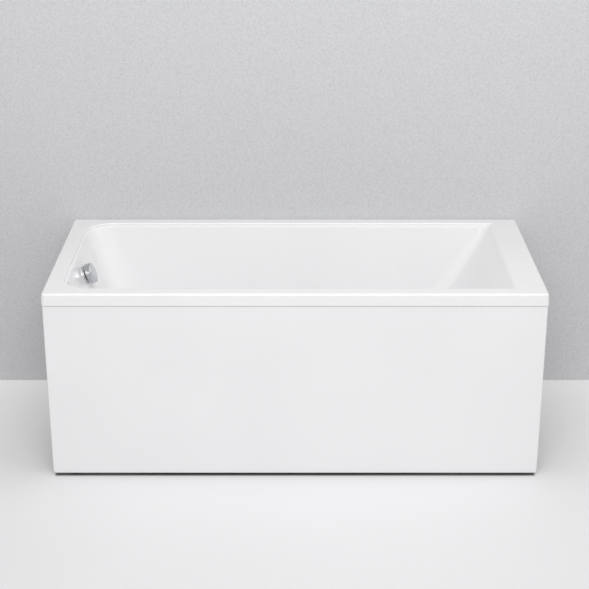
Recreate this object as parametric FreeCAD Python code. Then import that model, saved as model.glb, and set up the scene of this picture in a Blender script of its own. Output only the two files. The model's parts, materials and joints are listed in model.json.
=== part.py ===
import FreeCAD, Part
import math
import os

# Alcove bathtub, 1500 x 700 mm, with a pull-off front panel, a welded frame on
# four screw feet, wall hangers and a turn-knob overflow and waste kit.
# Millimetres. +X runs to the backrest, +Y to the back wall, +Z up from the floor.
# The origin is the centre of the footprint, on the floor.

V = FreeCAD.Vector
UP = V(0, 0, 1)
ALONG_X = V(1, 0, 0)
ALONG_Y = V(0, 1, 0)

# ---- driving dimensions: bath ----
bath_length = 1500.0
bath_width = 700.0
rim_height = 605.0
shell_wall = 5.0
backing_wall = 3.0
skirt_height = 37.0
skirt_flare = 1.5
rim_corner_radius = 10.0
rim_edge_radius = 6.0
rim_front = 50.0
rim_back = 45.0
rim_left = 50.0
rim_right = 79.7
step_depth = 12.0
step_corner_radius = 95.0
step_edge_radius = 4.0
ledge_width = 9.0

# ---- driving dimensions: basin ----
foot_wall_tilt = 20.5
back_rest_tilt = 33.0
side_wall_tilt = 9.0
head_corner_radius = 30.0
floor_corner_radius = 100.0
floor_edge_radius = 50.0
basin_floor_height = 190.0
floor_fall = 0.01
backing_underside = 182.0

# ---- driving dimensions: frame ----
base_board_thickness = 18.0
base_board_foot_inset = 390.0
base_board_head_inset = 450.0
base_board_width = 340.0
tube_size = 30.0
tube_wall = 2.0
rail_inset_y = 45.0
rail_inset_x = 35.0
left_bar_inset = 500.0
right_bar_inset = 550.0
post_size = 25.0
rim_pad_thickness = 8.0
end_cap_thickness = 3.0
end_cap_depth = 9.0
end_cap_clearance = 0.5
board_screw_radius = 2.0
board_screw_length = 15.0
board_screw_inset = 50.0
screw_clearance = 0.1

# ---- driving dimensions: feet ----
foot_inset_x = 50.0
foot_inset_y = 100.0
stud_radius = 6.0
stud_above_bar = 11.0
foot_nut_width = 19.0
foot_nut_height = 10.0
foot_pad_radius = 25.0
foot_pad_height = 20.0
foot_pad_flat = 6.0
foot_pad_shoulder = 3.0
foot_pad_top_radius = 11.0
foot_pin_radius = 5.0
foot_pin_floor = 8.0
thread_clearance = 0.05
pin_clearance = 0.06
stud_hole_clearance = 0.8
stud_collar_width = 17.0
stud_collar_height = 8.0
stud_collar_gap = 2.0

# ---- driving dimensions: rim battens and wall hangers ----
batten_width = 30.0
batten_height = 20.0
batten_inset = 120.0
batten_gap = 4.0
hanger_inset = 300.0
hanger_width = 60.0
hanger_thickness = 3.0
hanger_hole_radius = 4.25
hanger_hole_spacing = 40.0
hanger_plate_height = 62.0
hanger_hole_edge = 11.0
hanger_step_back = 10.0
hanger_skirt_gap = 3.0
hanger_seat_depth = 25.0
hanger_screw_inset = 12.0
wood_screw_radius = 2.0
wood_screw_length = 14.0
wood_screw_head = 4.0
wood_screw_head_height = 2.5

# ---- driving dimensions: front panel ----
panel_inset_x = 2.5
panel_recess = 2.5
panel_top_gap = 2.0
panel_floor_gap = 9.0
panel_wall = 3.5
panel_flange = 28.0
panel_edge_radius = 4.0
panel_lower_corner = 10.0
panel_upper_corner = 5.0
stiffener_width = 60.0
stiffener_thickness = 9.7
stiffener_inset = 300.0
stiffener_margin = 25.0
clip_inset = 150.0
clip_width = 30.0
clip_grip = 15.0
clip_lip = 5.0
clip_clearance = 0.3
clip_back_wall = 6.0
magnet_width = 40.0
magnet_height = 20.0
magnet_depth = 12.0
keeper_thickness = 2.0
keeper_gap = 0.3

# ---- driving dimensions: overflow, in the slanted foot wall ----
overflow_drop = 72.0
overflow_hole_radius = 26.0
face_ring_radius = 29.0
face_ring_thickness = 5.0
face_neck_radius = 24.0
face_neck_bore = 20.0
face_neck_length = 22.0
neck_clearance = 0.3
overflow_gasket_thickness = 3.0
housing_radius = 32.0
housing_wall = 3.0
water_chamber_depth = 40.0
cable_chamber_depth = 16.0
spindle_radius = 4.0
spindle_clearance = 0.1
spider_arm_width = 3.0
spider_arm_inset = 3.0
bush_wall = 3.0
drum_radius = 6.5
drum_width = 8.0
drum_flange_radius = 10.0
drum_flange_thickness = 1.5
knob_radius = 33.0
knob_thickness = 20.0
knob_gap = 4.5
knob_edge_radius = 2.5
knob_bore_depth = 16.0
knob_facet_offset = 16.2
knob_facet_turn = 33.0
knob_facet_tilt = 28.0
grub_radius = 2.5
grub_length = 9.0

# ---- driving dimensions: hose and cable ----
hose_bore = 13.5
hose_valley = 16.0
hose_crest = 18.5
hose_rib_pitch = 5.5
hose_nut_radius = 21.5
hose_nut_length = 26.0
hose_nut_clearance = 0.2
port_length = 30.0
cable_radius = 2.5
cable_bend_radius = 100.0
ferrule_radius = 4.5
ferrule_length = 16.0
cable_boss_radius = 6.0
cable_bore = 1.5

# ---- driving dimensions: waste ----
drain_inset = 330.0
drain_hole_radius = 26.5
drain_recess_radius = 42.0
drain_recess_depth = 3.0
drain_flange_radius = 40.0
drain_flange_thickness = 2.5
drain_neck_radius = 25.5
drain_neck_bore = 21.0
drain_neck_length = 17.0
drain_guide_radius = 6.0
drain_guide_inset = 2.0
waste_gasket_thickness = 3.0
waste_flange_radius = 38.0
waste_flange_thickness = 5.0
chamber_radius = 29.0
chamber_bore = 26.0
chamber_floor = 95.0
outlet_neck_radius = 20.0
outlet_neck_bore = 17.0
outlet_neck_length = 26.0
hose_port_height = 150.0
hose_port_reach = 44.0
plug_radius = 32.0
plug_thickness = 4.0
plug_seal_radius = 28.0
plug_seal_thickness = 2.3
plug_hub_radius = 8.0
stem_radius = 3.0
stem_clearance = 0.1

# ---- driving dimensions: plug linkage ----
rocker_pin_radius = 2.0
rocker_pin_clearance = 0.05
rocker_pin_x = -12.0
rocker_pin_height = 122.0
rocker_hub_radius = 4.5
rocker_swing = 25.0
lower_arm = 11.0
upper_arm = 12.0
arm_thickness = 4.0
arm_width = 8.0
arm_tip_radius = 3.0
plunger_radius = 4.0
plunger_nose_radius = 1.5
plunger_nose_length = 12.0
link_clearance = 0.4
cable_port_radius = 8.0
cable_port_reach = 52.0

# ---- driving dimensions: trap ----
trap_radius = 18.0
trap_bore = 15.0
trap_bend_radius = 28.0
trap_elbow_radius = 25.0
trap_floor_gap = 10.0
trap_riser = 8.0
trap_spigot_length = 40.0
trap_nut_radius = 27.0
trap_nut_length = 20.0
trap_collar_height = 3.0
trap_nut_lip = 6.0
trap_nut_clearance = 0.3
outlet_pipe_radius = 20.0
outlet_pipe_bore = 18.3
outlet_pipe_overlap = 20.0
outlet_pipe_inset = 5.0
outlet_spigot_length = 45.0
outlet_bead_height = 2.0
outlet_bead_width = 4.0

# ---- places worked out from the dimensions ----
half_length = bath_length / 2
half_width = bath_width / 2
base_board_left = -half_length + base_board_foot_inset
base_board_right = half_length - base_board_head_inset
left_bar_x = -half_length + left_bar_inset
right_bar_x = half_length - right_bar_inset
batten_half = half_length - batten_inset
hanger_x = half_length - hanger_inset
stiffener_x = half_length - stiffener_inset
clip_x = half_length - clip_inset
drain_x = -half_length + drain_inset
rim_underside = rim_height - shell_wall
skirt_bottom = rim_height - skirt_height
ledge_height = rim_height - step_depth
tube_top = backing_underside - base_board_thickness
tube_bottom = tube_top - tube_size
rail_y = half_width - rail_inset_y
end_bar_x = half_length - rail_inset_x - tube_size / 2
bar_half_span = rail_y - tube_size / 2
foot_x = half_length - foot_inset_x
foot_y = half_width - foot_inset_y
post_top = rim_underside - rim_pad_thickness
panel_face_y = -half_width + panel_recess
panel_back_y = panel_face_y + panel_wall
panel_flange_y = panel_face_y + panel_flange
panel_top = skirt_bottom - panel_top_gap
panel_half = half_length - panel_inset_x
step_left = -half_length + rim_left
step_front = -half_width + rim_front
step_back = half_width - rim_back
roll_end = half_length - rim_right
roll_radius = step_depth / (1 - math.sin(math.radians(back_rest_tilt)))
rest_cos = math.cos(math.radians(back_rest_tilt))
rest_sin = math.sin(math.radians(back_rest_tilt))
rest_top = roll_end - roll_radius * rest_cos
far = 2 * bath_length

nodes = {}


# ---- general helpers ----
def box(x0, x1, y0, y1, z0, z1):
    return Part.makeBox(x1 - x0, y1 - y0, z1 - z0, V(x0, y0, z0))


def rod(radius, start, direction, length):
    return Part.makeCylinder(radius, length, start, direction)


def ring(outer, inner, start, direction, length):
    margin = direction * 1.0
    return rod(outer, start, direction, length).cut(rod(inner, start - margin, direction, length + 2))


def hexagon(width, height, centre):
    corner = width / math.sqrt(3)
    points = [
        centre + V(corner * math.cos(k * math.pi / 3), corner * math.sin(k * math.pi / 3), 0)
        for k in range(7)
    ]
    return Part.Face(Part.makePolygon(points)).extrude(V(0, 0, height))


def group(solids):
    return Part.makeCompound(solids)


def edge_line(a, b):
    return Part.LineSegment(a, b).toShape()


def edge_arc(a, middle, b):
    return Part.Arc(a, middle, b).toShape()


def outline(x0, x1, y0, y1, z, left_radius, right_radius):
    """Rounded rectangle: one radius for the two left corners, one for the right."""
    corners = [
        (x0 + left_radius, y0 + left_radius, left_radius, 180),
        (x1 - right_radius, y0 + right_radius, right_radius, 270),
        (x1 - right_radius, y1 - right_radius, right_radius, 0),
        (x0 + left_radius, y1 - left_radius, left_radius, 90),
    ]
    arcs = []
    for cx, cy, radius, start in corners:
        ends = [
            V(cx + radius * math.cos(math.radians(start + turn)),
              cy + radius * math.sin(math.radians(start + turn)), z)
            for turn in (0, 45, 90)
        ]
        arcs.append(ends)
    edges = []
    for k in range(4):
        a, middle, b = arcs[k]
        edges.append(edge_arc(a, middle, b))
        edges.append(edge_line(b, arcs[(k + 1) % 4][0]))
    return Part.Wire(edges)


def square_tube(x0, x1, y0, y1, z0, z1, wall, axis):
    """Hollow square tube along one axis, open at both ends."""
    solid = box(x0, x1, y0, y1, z0, z1)
    if axis == "x":
        return solid.cut(box(x0 - 1, x1 + 1, y0 + wall, y1 - wall, z0 + wall, z1 - wall))
    if axis == "y":
        return solid.cut(box(x0 + wall, x1 - wall, y0 - 1, y1 + 1, z0 + wall, z1 - wall))
    return solid.cut(box(x0 + wall, x1 - wall, y0 + wall, y1 - wall, z0 - 1, z1 + 1))


def edges_where(shape, test):
    return [edge for edge in shape.Edges if test(edge.BoundBox)]


# ---- the slanted foot wall: a local frame with z out of the wall into the basin,
#      x down the wall and y along +Y ----
wall_left = step_left + ledge_width
overflow_height = rim_height - overflow_drop
foot_wall_x = wall_left + (ledge_height - overflow_height) * math.tan(math.radians(foot_wall_tilt))
wall_frame = FreeCAD.Placement(
    V(foot_wall_x, 0, overflow_height), FreeCAD.Rotation(ALONG_Y, 90 - foot_wall_tilt)
)
wall_down = wall_frame.Rotation.multVec(ALONG_X)
wall_back = -(shell_wall + backing_wall)
gasket_back = wall_back - overflow_gasket_thickness
water_back = gasket_back - water_chamber_depth
cable_back = water_back - cable_chamber_depth
port_depth = gasket_back - hose_crest - 1


def on_wall(shape):
    placed = shape.copy()
    placed.Placement = wall_frame
    return placed


def wall_point(x, y, z):
    return wall_frame.multVec(V(x, y, z))


# ---- tub shell ----
def basin(offset, low_plane):
    """The basin's inner form, moved out by offset, above a floor plane."""
    foot = math.radians(foot_wall_tilt)
    rest = math.radians(back_rest_tilt)
    side = math.radians(side_wall_tilt)
    drop = ledge_height
    top = outline(
        wall_left - offset / math.cos(foot),
        rest_top + offset / math.cos(rest),
        step_front + ledge_width - offset / math.cos(side),
        step_back - ledge_width + offset / math.cos(side),
        ledge_height, step_corner_radius - ledge_width + offset, head_corner_radius + offset,
    )
    bottom = outline(
        wall_left + drop * math.tan(foot) - offset / math.cos(foot),
        rest_top - drop * math.tan(rest) + offset / math.cos(rest),
        step_front + ledge_width + drop * math.tan(side) - offset / math.cos(side),
        step_back - ledge_width - drop * math.tan(side) + offset / math.cos(side),
        0, floor_corner_radius + offset, floor_corner_radius + offset,
    )
    return Part.makeLoft([bottom, top], True, True).cut(low_plane)


def below_floor(offset, fall):
    """Everything under the basin's floor, which falls towards the foot end."""
    slab = box(-far, far, -far, far, -far, 0)
    slab.rotate(V(0, 0, 0), ALONG_Y, -math.degrees(math.atan(fall)))
    foot_x0 = wall_left + (ledge_height - basin_floor_height) * math.tan(math.radians(foot_wall_tilt))
    slab.translate(V(foot_x0, 0, basin_floor_height - offset))
    return slab


def floor_fillet(solid, radius):
    limit = basin_floor_height + (roll_end - step_left) * floor_fall
    return solid.makeFillet(radius, edges_where(solid, lambda b: b.ZMax < limit))


def roll_block(radius, low, y0, y1):
    """The rounded nose between the right rim and the backrest."""
    centre = V(roll_end, 0, rim_height - roll_radius)
    middle = math.radians((90 + 180 - back_rest_tilt) / 2)
    start = centre + V(-radius * rest_cos, y0, radius * rest_sin)
    nose = centre + V(radius * math.cos(middle), y0, radius * math.sin(middle))
    end = centre + V(0, y0, radius)
    corner = V(roll_end, y0, low)
    foot = V(start.x - (start.z - low) * rest_sin / rest_cos, y0, low)
    edges = [edge_arc(start, nose, end), edge_line(end, corner), edge_line(corner, foot)]
    if start.z - low > 0.01:
        edges.append(edge_line(foot, start))
    return Part.Face(Part.Wire(edges)).extrude(V(0, y1 - y0, 0))


def step_outline(grow, z):
    """Outline of the step below the rim: rounded at the foot end, square at the head."""
    x0 = step_left - grow
    y0 = step_front - grow
    y1 = step_back + grow
    radius = step_corner_radius + grow
    part = radius * (1 - math.sqrt(0.5))
    points = [
        V(roll_end, y0, z), V(roll_end, y1, z), V(x0 + radius, y1, z), V(x0 + part, y1 - part, z),
        V(x0, y1 - radius, z), V(x0, y0 + radius, z), V(x0 + part, y0 + part, z),
        V(x0 + radius, y0, z),
    ]
    return Part.Wire([
        edge_line(points[0], points[1]), edge_line(points[1], points[2]),
        edge_arc(points[2], points[3], points[4]), edge_line(points[4], points[5]),
        edge_arc(points[5], points[6], points[7]), edge_line(points[7], points[0]),
    ])


def is_step_top(b):
    level = b.ZMin > rim_height - 0.1
    inside = b.XMin > step_left - 1 and b.YMin > step_front - 1 and b.YMax < step_back + 1
    return level and inside and b.XMax < roll_end + 1 and b.XMin < roll_end - 1


def make_tub():
    rim = Part.makeLoft([
        outline(-half_length, half_length, -half_width, half_width, skirt_bottom,
                rim_corner_radius, rim_corner_radius),
        outline(-half_length + skirt_flare, half_length - skirt_flare, -half_width + skirt_flare,
                half_width - skirt_flare, rim_height, rim_corner_radius, rim_corner_radius),
    ], True, True)
    rim = rim.makeFillet(rim_edge_radius, edges_where(rim, lambda b: b.ZMin > rim_underside))
    skirt_inner = rim_corner_radius - shell_wall
    hollow = Part.Face(outline(
        -half_length + shell_wall, half_length - shell_wall, -half_width + shell_wall,
        half_width - shell_wall, skirt_bottom - 1, skirt_inner, skirt_inner,
    )).extrude(V(0, 0, rim_underside - skirt_bottom + 1))
    rim = rim.cut(hollow)

    under_step = ledge_height - shell_wall
    step_outer = Part.Face(step_outline(shell_wall, under_step)).extrude(V(0, 0, rim_height - under_step))
    step_outer = step_outer.cut(
        roll_block(roll_radius - shell_wall, under_step, step_front, step_back)
    )
    step_inner = Part.Face(step_outline(0, ledge_height)).extrude(V(0, 0, step_depth + 10))
    step_inner = step_inner.cut(
        roll_block(roll_radius, ledge_height, step_front - 1, step_back + 1)
    )
    inside = floor_fillet(basin(0, below_floor(0, floor_fall)), floor_edge_radius)
    outside = floor_fillet(
        basin(shell_wall, below_floor(shell_wall, floor_fall)), floor_edge_radius + shell_wall
    )
    tub = rim.fuse([step_outer, outside]).cut(inside).cut(step_inner).removeSplitter()
    return tub.makeFillet(step_edge_radius, edges_where(tub, is_step_top)), outside


def drain_floor():
    return basin_floor_height + floor_fall * (
        drain_x - wall_left
        - (ledge_height - basin_floor_height) * math.tan(math.radians(foot_wall_tilt))
    )


tub_shell, tub_outside = make_tub()
drain_seat = drain_floor() - drain_recess_depth
overflow_hole = on_wall(rod(overflow_hole_radius, V(0, 0, 2 * wall_back), UP, -4 * wall_back))
drain_hole = rod(drain_hole_radius, V(drain_x, 0, 0), UP, rim_height)
tub_shell = tub_shell.cut([
    overflow_hole, drain_hole, rod(drain_recess_radius, V(drain_x, 0, drain_seat), UP, 20),
])
nodes["tub_shell"] = tub_shell

backing_block = basin(shell_wall + backing_wall, box(-far, far, -far, far, -far, backing_underside))
backing_block = floor_fillet(backing_block, floor_edge_radius)
backing_block = backing_block.cut(box(-far, far, -far, far, ledge_height - shell_wall, far))
nodes["fibreglass_backing"] = backing_block.cut([tub_outside, overflow_hole, drain_hole])


# ---- base board and welded frame ----
def bar_holes(x, spots, radius):
    return [rod(radius, V(x, y, tube_bottom - 1), UP, tube_size + 2) for y in spots]


board_half = base_board_width / 2
board_screw_y = board_half - board_screw_inset
screw_spots = [(x, y) for x in (left_bar_x, right_bar_x) for y in (-board_screw_y, board_screw_y)]
screw_seat = tube_top - tube_wall
board_holes = [
    rod(board_screw_radius + screw_clearance, V(x, y, screw_seat - 1), UP, board_screw_length + 1)
    for x, y in screw_spots
]
nodes["base_board"] = box(
    base_board_left, base_board_right, -board_half, board_half, tube_top, backing_underside
).cut(board_holes)
nodes["board_screws"] = group([
    rod(wood_screw_head, V(x, y, screw_seat - wood_screw_head_height), UP, wood_screw_head_height).fuse(
        rod(board_screw_radius, V(x, y, screw_seat), UP, board_screw_length - 1)
    )
    for x, y in screw_spots
])
access_holes = [
    rod(wood_screw_head + 1, V(x, y, tube_bottom - 1), UP, tube_wall + 2) for x, y in screw_spots
]

half_tube = tube_size / 2
rail_half = end_bar_x + half_tube
for name, y in (("front_rail", -rail_y), ("rear_rail", rail_y)):
    nodes[name] = square_tube(
        -rail_half, rail_half, y - half_tube, y + half_tube, tube_bottom, tube_top, tube_wall, "x"
    )
for name, x in (("left_cross_bar", left_bar_x), ("right_cross_bar", right_bar_x)):
    bar = square_tube(
        x - half_tube, x + half_tube, -bar_half_span, bar_half_span, tube_bottom, tube_top,
        tube_wall, "y"
    )
    nodes[name] = bar.cut(board_holes + access_holes)
for name, x in (("left_end_bar", -end_bar_x), ("right_end_bar", end_bar_x)):
    bar = square_tube(
        x - half_tube, x + half_tube, -bar_half_span, bar_half_span, tube_bottom, tube_top,
        tube_wall, "y"
    )
    side = math.copysign(1, x)
    nodes[name] = bar.cut(bar_holes(side * foot_x, (-foot_y, foot_y), stud_radius + stud_hole_clearance))

half_post = post_size / 2
corner_names = [
    ("front_left", -1, -1), ("front_right", 1, -1), ("rear_left", -1, 1), ("rear_right", 1, 1),
]
pads = []
caps = []
for name, side_x, side_y in corner_names:
    x = side_x * end_bar_x
    y = side_y * rail_y
    nodes["post_" + name] = square_tube(
        x - half_post, x + half_post, y - half_post, y + half_post, tube_top, post_top, tube_wall, "z"
    )
    pads.append(box(
        x - half_post, x + half_post, y - half_post, y + half_post, post_top, rim_underside
    ))
    cap_in = half_tube - tube_wall - end_cap_clearance
    outer = rail_half + end_cap_thickness
    inner = rail_half - end_cap_depth
    middle = tube_bottom + half_tube
    cap = box(rail_half, outer, y - half_tube, y + half_tube, tube_bottom, tube_top)
    plug = box(inner, rail_half, y - cap_in, y + cap_in, middle - cap_in, middle + cap_in)
    cap = cap.fuse(plug).removeSplitter()
    if side_x < 0:
        cap = cap.mirror(V(0, 0, 0), ALONG_X)
    caps.append(cap)
nodes["rim_pads"] = group(pads)
nodes["rail_end_caps"] = group(caps)


# ---- screw feet: a pad that stands on the floor and a threaded stud turning in it ----
def nut(x, y, top):
    body = hexagon(foot_nut_width, foot_nut_height, V(x, y, top - foot_nut_height))
    return body.cut(rod(stud_radius + thread_clearance, V(x, y, 0), UP, rim_height))


weld_nuts = []
lock_nuts = []
for name, side_x, side_y in corner_names:
    x = side_x * foot_x
    y = side_y * foot_y
    weld_nuts.append(nut(x, y, tube_bottom))
    lock_nuts.append(nut(x, y, tube_bottom - foot_nut_height))
    pad = rod(foot_pad_radius, V(x, y, 0), UP, foot_pad_flat).fuse(Part.makeCone(
        foot_pad_radius - foot_pad_shoulder, foot_pad_top_radius, foot_pad_height - foot_pad_flat,
        V(x, y, foot_pad_flat)
    ))
    nodes["foot_pad_" + name] = pad.cut(
        rod(foot_pin_radius, V(x, y, foot_pin_floor), UP, foot_pad_height)
    ).removeSplitter()
    collar = foot_pad_height + stud_collar_gap
    stud = rod(stud_radius, V(x, y, collar), UP, tube_top + stud_above_bar - collar)
    pin = rod(foot_pin_radius - pin_clearance, V(x, y, foot_pin_floor), UP, collar - foot_pin_floor)
    grip = hexagon(stud_collar_width, stud_collar_height, V(x, y, collar))
    nodes["foot_stud_" + name] = stud.fuse([pin, grip]).removeSplitter()
nodes["foot_weld_nuts"] = group(weld_nuts)
nodes["foot_lock_nuts"] = group(lock_nuts)

# ---- rim battens, wall hangers and their screws ----
batten_bottom = rim_underside - batten_height
batten_outer = half_width - shell_wall - batten_gap
batten_inner = batten_outer - batten_width
seat_y = half_width - hanger_step_back - hanger_thickness
seat_front = seat_y - hanger_seat_depth
hanger_top = skirt_bottom - hanger_skirt_gap
hanger_bottom = hanger_top - hanger_plate_height
hanger_screw_y = seat_y - hanger_seat_depth / 2
hanger_screw_x = hanger_width / 2 - hanger_screw_inset


def wood_screw(x, y, seat):
    head = rod(wood_screw_head, V(x, y, seat - wood_screw_head_height), UP, wood_screw_head_height)
    return head.fuse(rod(wood_screw_radius, V(x, y, seat), UP, wood_screw_length))


def wood_screw_hole(x, y, seat):
    return rod(wood_screw_radius + screw_clearance, V(x, y, seat - 1), UP, wood_screw_length + 2)


hanger_seat = batten_bottom - hanger_thickness
hanger_screws = []
hanger_holes = []
for name, x in (("left", -hanger_x), ("right", hanger_x)):
    x0 = x - hanger_width / 2
    x1 = x + hanger_width / 2
    spots = [x - hanger_screw_x, x + hanger_screw_x]
    holes = [wood_screw_hole(spot, hanger_screw_y, hanger_seat) for spot in spots]
    hanger_holes += holes
    hanger_screws += [wood_screw(spot, hanger_screw_y, hanger_seat) for spot in spots]
    hanger = box(x0, x1, half_width - hanger_thickness, half_width, hanger_bottom, hanger_top).fuse([
        box(x0, x1, seat_y, half_width, hanger_top - hanger_thickness, hanger_top),
        box(x0, x1, seat_y, seat_y + hanger_thickness, hanger_top - hanger_thickness, batten_bottom),
        box(x0, x1, seat_front, seat_y + hanger_thickness, hanger_seat, batten_bottom),
    ]).removeSplitter()
    wall_holes = [
        rod(hanger_hole_radius, V(x, half_width - 2 * hanger_thickness, z), ALONG_Y, 3 * hanger_thickness)
        for z in (hanger_bottom + hanger_hole_edge, hanger_bottom + hanger_hole_edge + hanger_hole_spacing)
    ]
    nodes["wall_hanger_" + name] = hanger.cut(holes + wall_holes)
nodes["hanger_screws"] = group(hanger_screws)
nodes["rear_rim_batten"] = box(
    -batten_half, batten_half, batten_inner, batten_outer, batten_bottom, rim_underside
).cut(hanger_holes)

# ---- panel clips under the front batten: a groove takes the panel's top flange ----
flange_top = panel_top + clip_clearance
flange_bottom = panel_top - panel_wall - clip_clearance
groove_end = panel_flange_y + clip_clearance
clip_front = panel_flange_y - clip_grip
clip_screw_y = panel_flange_y - clip_grip / 2
clips = []
clip_screws = []
clip_holes = []
for x in (-clip_x, 0, clip_x):
    clip = box(
        x - clip_width / 2, x + clip_width / 2, clip_front, groove_end + clip_back_wall,
        flange_bottom - clip_lip, batten_bottom
    )
    groove = box(x - clip_width, x + clip_width, clip_front - 1, groove_end, flange_bottom, flange_top)
    head_seat = flange_top + wood_screw_head_height + 1
    recess = rod(wood_screw_head + 0.5, V(x, clip_screw_y, flange_bottom - clip_lip - 1), UP,
                 head_seat - flange_bottom + clip_lip + 1)
    screw_hole = rod(wood_screw_radius + screw_clearance, V(x, clip_screw_y, head_seat - 1), UP,
                     batten_bottom - head_seat + wood_screw_length)
    clips.append(clip.cut([groove, recess, screw_hole]))
    clip_holes.append(screw_hole)
    head = rod(wood_screw_head, V(x, clip_screw_y, head_seat - wood_screw_head_height), UP,
               wood_screw_head_height)
    clip_screws.append(head.fuse(rod(
        wood_screw_radius, V(x, clip_screw_y, head_seat), UP,
        batten_bottom - head_seat + wood_screw_length - 2
    )))
nodes["panel_clips"] = group(clips)
nodes["clip_screws"] = group(clip_screws)
nodes["front_rim_batten"] = box(
    -batten_half, batten_half, -batten_outer, -batten_inner, batten_bottom, rim_underside
).cut(clip_holes)

# ---- magnet catches on the front rail ----
magnet_middle = tube_bottom + half_tube
magnet_face = -rail_y - half_tube - magnet_depth
nodes["magnet_catches"] = group([
    box(x - magnet_width / 2, x + magnet_width / 2, magnet_face, magnet_face + magnet_depth,
        magnet_middle - magnet_height / 2, magnet_middle + magnet_height / 2)
    for x in (-stiffener_x, stiffener_x)
])


# ---- front panel: a moulded tray with its open side to the back ----
def upright(x0, x1, z0, z1, y, depth, lower_radius, upper_radius):
    """Prism with a rounded front elevation, from y back by depth."""
    solid = Part.Face(outline(z0, z1, x0, x1, 0, lower_radius, upper_radius)).extrude(V(0, 0, depth))
    solid.Placement = FreeCAD.Placement(V(0, y, 0), FreeCAD.Rotation(V(1, 1, 1), 240))
    return solid


panel = upright(
    -panel_half, panel_half, panel_floor_gap, panel_top, panel_face_y, panel_flange,
    panel_lower_corner, panel_upper_corner
)
panel = panel.makeFillet(panel_edge_radius, edges_where(panel, lambda b: b.YMax < panel_face_y + 0.1))
nodes["front_panel"] = panel.cut(upright(
    -panel_half + panel_wall, panel_half - panel_wall, panel_floor_gap + panel_wall,
    panel_top - panel_wall, panel_back_y, panel_flange,
    panel_lower_corner - panel_wall, panel_upper_corner - panel_wall
))
stiffener_back = panel_back_y + stiffener_thickness
nodes["panel_stiffeners"] = group([
    box(x - stiffener_width / 2, x + stiffener_width / 2, panel_back_y, stiffener_back,
        panel_floor_gap + stiffener_margin, panel_top - stiffener_margin)
    for x in (-stiffener_x, 0, stiffener_x)
])
keeper_face = magnet_face - keeper_gap
nodes["keeper_plates"] = group([
    box(x - magnet_width / 2, x + magnet_width / 2, keeper_face - keeper_thickness, keeper_face,
        magnet_middle - magnet_height / 2, magnet_middle + magnet_height / 2)
    for x in (-stiffener_x, stiffener_x)
])

# ---- overflow: face ring, gasket, housing, knob and cable drum, in the wall's frame ----
def spider(reach, low, high):
    """Three thin arms at 120 degrees that hold a centre bush."""
    arms = []
    for k in range(3):
        arm = box(0, reach + 1, -spider_arm_width / 2, spider_arm_width / 2, low, high)
        arm.rotate(V(0, 0, 0), UP, 60 + 120 * k)
        arms.append(arm)
    return arms


neck_end = face_ring_thickness - face_neck_length
face_ring = ring(face_ring_radius, face_neck_bore, V(0, 0, 0), UP, face_ring_thickness).fuse(
    ring(face_neck_radius, face_neck_bore, V(0, 0, neck_end), UP, face_neck_length - 1)
)
bush = rod(spindle_radius + bush_wall, V(0, 0, neck_end), UP, face_neck_length)
arms = spider(face_neck_bore, neck_end + spider_arm_inset, face_ring_thickness - spider_arm_inset)
spindle_hole = rod(spindle_radius + spindle_clearance, V(0, 0, cable_back), UP, -cable_back + 20)
nodes["overflow_face_ring"] = on_wall(face_ring.fuse([bush] + arms).cut(spindle_hole).removeSplitter())
nodes["overflow_gasket"] = on_wall(
    ring(housing_radius, overflow_hole_radius, V(0, 0, gasket_back), UP, overflow_gasket_thickness)
)

cable_z = (water_back + cable_back) / 2
port_end = housing_radius + port_length
cable_exit = housing_radius + ferrule_length / 2
housing = rod(housing_radius, V(0, 0, cable_back), UP, gasket_back - cable_back)
housing = housing.fuse([
    rod(hose_valley, V(0, 0, port_depth), ALONG_X, port_end),
    rod(cable_boss_radius, V(0, -drum_radius, cable_z), ALONG_X, cable_exit),
])
water_room = rod(housing_radius - housing_wall, V(0, 0, water_back), UP,
                 gasket_back - housing_wall - water_back)
cable_room = rod(drum_flange_radius + 3, V(0, 0, cable_back + housing_wall), UP,
                 water_back - housing_wall - cable_back - housing_wall)
nodes["overflow_housing"] = on_wall(housing.cut([
    water_room, cable_room, spindle_hole,
    rod(face_neck_radius + neck_clearance, V(0, 0, gasket_back + 1), -UP, housing_wall + 2),
    rod(hose_bore - 1, V(0, 0, port_depth), ALONG_X, port_end + 1),
    rod(cable_bore, V(0, -drum_radius, cable_z), ALONG_X, cable_exit + 1),
]).removeSplitter())

drum = rod(drum_radius, V(0, 0, cable_z - drum_width / 2), UP, drum_width).fuse([
    rod(drum_flange_radius, V(0, 0, cable_z - drum_width / 2), UP, drum_flange_thickness),
    rod(drum_flange_radius, V(0, 0, cable_z + drum_width / 2 - drum_flange_thickness), UP,
        drum_flange_thickness),
    rod(spindle_radius, V(0, 0, cable_z), UP,
        face_ring_thickness + knob_gap + knob_bore_depth - 0.5 - cable_z),
]).removeSplitter()
nodes["cable_drum"] = on_wall(drum)

knob_base = face_ring_thickness + knob_gap
knob_top = knob_base + knob_thickness
knob = rod(knob_radius, V(0, 0, knob_base), UP, knob_thickness)
knob.rotate(V(0, 0, 0), UP, 180)  # the seam goes to the top, clear of the crease
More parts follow.
